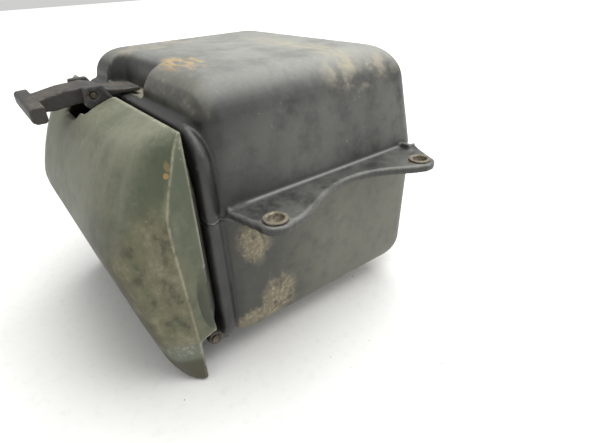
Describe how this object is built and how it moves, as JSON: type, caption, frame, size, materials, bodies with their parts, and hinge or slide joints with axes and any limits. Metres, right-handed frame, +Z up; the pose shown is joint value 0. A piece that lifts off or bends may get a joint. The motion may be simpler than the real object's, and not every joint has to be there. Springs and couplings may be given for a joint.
{
  "type": "air filter housing",
  "caption": "Two-shell plastic air box with flange ears, a bottom-hinged green access door with a top lever latch, and a round filter on the outlet spigot.",
  "frame": {"origin": "middle of the box's footprint, at the lowest point (the lip of the door)", "axes": "+X to the right across the door (over the ears), +Y from the door to the outlet side, +Z up"},
  "size_m": [0.2678, 0.248, 0.18],
  "materials": {
    "housing_black": "moulded, scuffed and dusty",
    "door_green": "moulded in colour, faded and muddy",
    "liner_black": "moulded",
    "latch_black": "moulded, dirty",
    "seal_rubber": "soft, matt",
    "boot_rubber": "matt",
    "sleeve_steel": "worn, lightly rusted",
    "zinc_steel": "zinc plated",
    "filter_paper": "oiled pleated paper",
    "filter_foam": "open-cell foam",
    "filter_rubber": "moulded end"
  },
  "bodies": {
    "housing": {"upper_shell": "housing_black", "lower_shell": "housing_black", "ear_sleeve_front_right": "sleeve_steel", "ear_sleeve_front_left": "sleeve_steel", "ear_sleeve_rear_right": "sleeve_steel", "ear_sleeve_rear_left": "sleeve_steel", "outlet_tube": "boot_rubber", "outlet_clamp": "zinc_steel", "clamp_screw": "zinc_steel", "inlet_duct": "boot_rubber", "inlet_clip": "zinc_steel", "breather_grommet": "seal_rubber", "breather_nipple": "latch_black", "drain_cap": "boot_rubber"},
    "door": {"door_panel": "door_green", "door_liner": "liner_black", "door_seal": "seal_rubber", "hinge_pin_right": "zinc_steel", "hinge_pin_left": "zinc_steel", "panel_screw_upper_left": "zinc_steel", "panel_screw_upper_right": "zinc_steel", "panel_screw_lower_left": "zinc_steel", "panel_screw_lower_right": "zinc_steel", "latch_pin": "zinc_steel", "latch_spring": "zinc_steel"},
    "latch": {"latch_lever": "latch_black"},
    "filter": {"filter_media": "filter_paper", "filter_cage": "zinc_steel", "foam_sleeve": "filter_foam", "filter_end_cap": "filter_rubber", "filter_neck": "filter_rubber", "filter_clamp": "zinc_steel"}
  },
  "joints": [
    {"name": "door_hinge", "type": "hinge", "parent": "housing", "child": "door", "pos_m": [0, -0.0735, 0.0225], "axis": [1, 0, 0], "range_deg": [0, 90]},
    {"name": "latch_pivot", "type": "hinge", "parent": "door", "child": "latch", "pos_m": [-0.018, -0.087, 0.164], "axis": [1, 0, 0], "range_deg": [0, 10], "stiffness_Nm_per_rad": 0.15, "springref_deg": -17.19},
    {"name": "filter_slide", "type": "slide", "parent": "housing", "child": "filter", "axis": [0, -1, 0], "range_m": [0, 0.035]}
  ]
}
